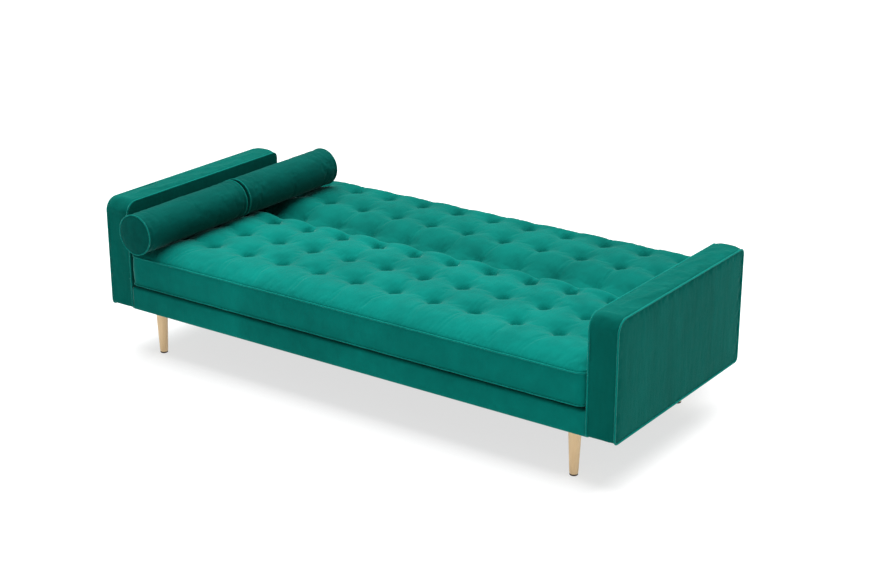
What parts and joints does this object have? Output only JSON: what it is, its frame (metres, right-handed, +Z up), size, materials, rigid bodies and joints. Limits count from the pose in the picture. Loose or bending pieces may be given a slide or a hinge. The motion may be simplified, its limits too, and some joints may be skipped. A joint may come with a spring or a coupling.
{
  "type": "futon sofa bed",
  "caption": "Click-clack sofa bed folded flat, with button-tufted seat and back cushions, piped box arms, tapered wooden legs and loose bolsters.",
  "frame": {"origin": "on the floor, at the centre of the outline of the sofa bed folded flat", "axes": "+X along the sofa to the right seen from the front, +Y to the back, +Z up"},
  "size_m": [2.12, 1.17, 0.578],
  "materials": {
    "velvet": "green velvet",
    "piping": "velvet piping",
    "leg_wood": "clear satin lacquer",
    "frame_wood": "sawn pine",
    "plywood": "plywood",
    "lining": "black non-woven cloth",
    "felt": "felt",
    "black_steel": "black satin paint",
    "zinc_steel": "zinc plated",
    "nylon": "natural nylon",
    "glide_plastic": "dark brown plastic"
  },
  "bodies": {
    "frame": {"arm_bolts": "zinc_steel", "arm_cover_left": "velvet", "arm_cover_right": "velvet", "arm_frame_left": "frame_wood", "arm_frame_right": "frame_wood", "arm_piping_left": "piping", "arm_piping_right": "piping", "base_front_cover": "velvet", "base_front_rail": "frame_wood", "base_middle_rail": "frame_wood", "base_rear_cover": "velvet", "base_rear_rail": "frame_wood", "base_side_rail_left": "frame_wood", "base_side_rail_right": "frame_wood", "bracket_screws": "zinc_steel", "corner_blocks": "frame_wood", "dust_cover": "lining", "hinge_bracket_left": "black_steel", "hinge_bracket_right": "black_steel", "hinge_pin_left": "zinc_steel", "hinge_pin_right": "zinc_steel", "hinge_washers": "nylon", "leg_bolts": "zinc_steel", "leg_front_left": "leg_wood", "leg_front_right": "leg_wood", "leg_glides": "glide_plastic", "leg_plates": "black_steel", "leg_rear_left": "leg_wood", "leg_rear_right": "leg_wood", "pawl_pins": "zinc_steel", "pawl_springs": "zinc_steel", "rest_pads": "felt", "seat_buttons": "velvet", "seat_cushion": "velvet", "seat_deck": "plywood", "seat_piping": "piping", "seat_slats": "plywood", "slat_cleat": "frame_wood"},
    "back": {"back_cushion": "velvet", "back_piping": "piping", "back_buttons": "velvet", "back_front_rail": "frame_wood", "back_rear_rail": "frame_wood", "back_slats": "plywood", "back_lining": "lining", "back_side_rail_left": "frame_wood", "back_side_rail_right": "frame_wood", "hinge_plate_left": "black_steel", "hinge_plate_right": "black_steel", "plate_screws": "zinc_steel"},
    "pawl_left": {"pawl_left": "zinc_steel"},
    "pawl_right": {"pawl_right": "zinc_steel"},
    "bolster_front": {"bolster_front": "velvet", "bolster_piping_front": "piping"},
    "bolster_rear": {"bolster_rear": "velvet", "bolster_piping_rear": "piping"}
  },
  "joints": [
    {"name": "back_fold", "type": "hinge", "parent": "frame", "child": "back", "pos_m": [0, 0.16505, 0.33], "axis": [1, 0, 0], "range_deg": [0, 82]},
    {"name": "pawl_left_swing", "type": "hinge", "parent": "frame", "child": "pawl_left", "pos_m": [-0.944, 0.15587, 0.26464], "axis": [-1, 0, 0], "range_deg": [0, 10]},
    {"name": "pawl_right_swing", "type": "hinge", "parent": "frame", "child": "pawl_right", "pos_m": [0.944, 0.15587, 0.26464], "axis": [-1, 0, 0], "range_deg": [0, 10]},
    {"name": "bolster_front_lift", "type": "slide", "parent": "frame", "child": "bolster_front", "axis": [0, 0, 1], "range_m": [0, 0.7]},
    {"name": "bolster_rear_lift", "type": "slide", "parent": "frame", "child": "bolster_rear", "axis": [0, 0, 1], "range_m": [0, 0.7]}
  ],
  "couplings": [
    {"joint": "bolster_rear_lift", "follows": "back_fold", "m_per_rad": 0.45}
  ]
}
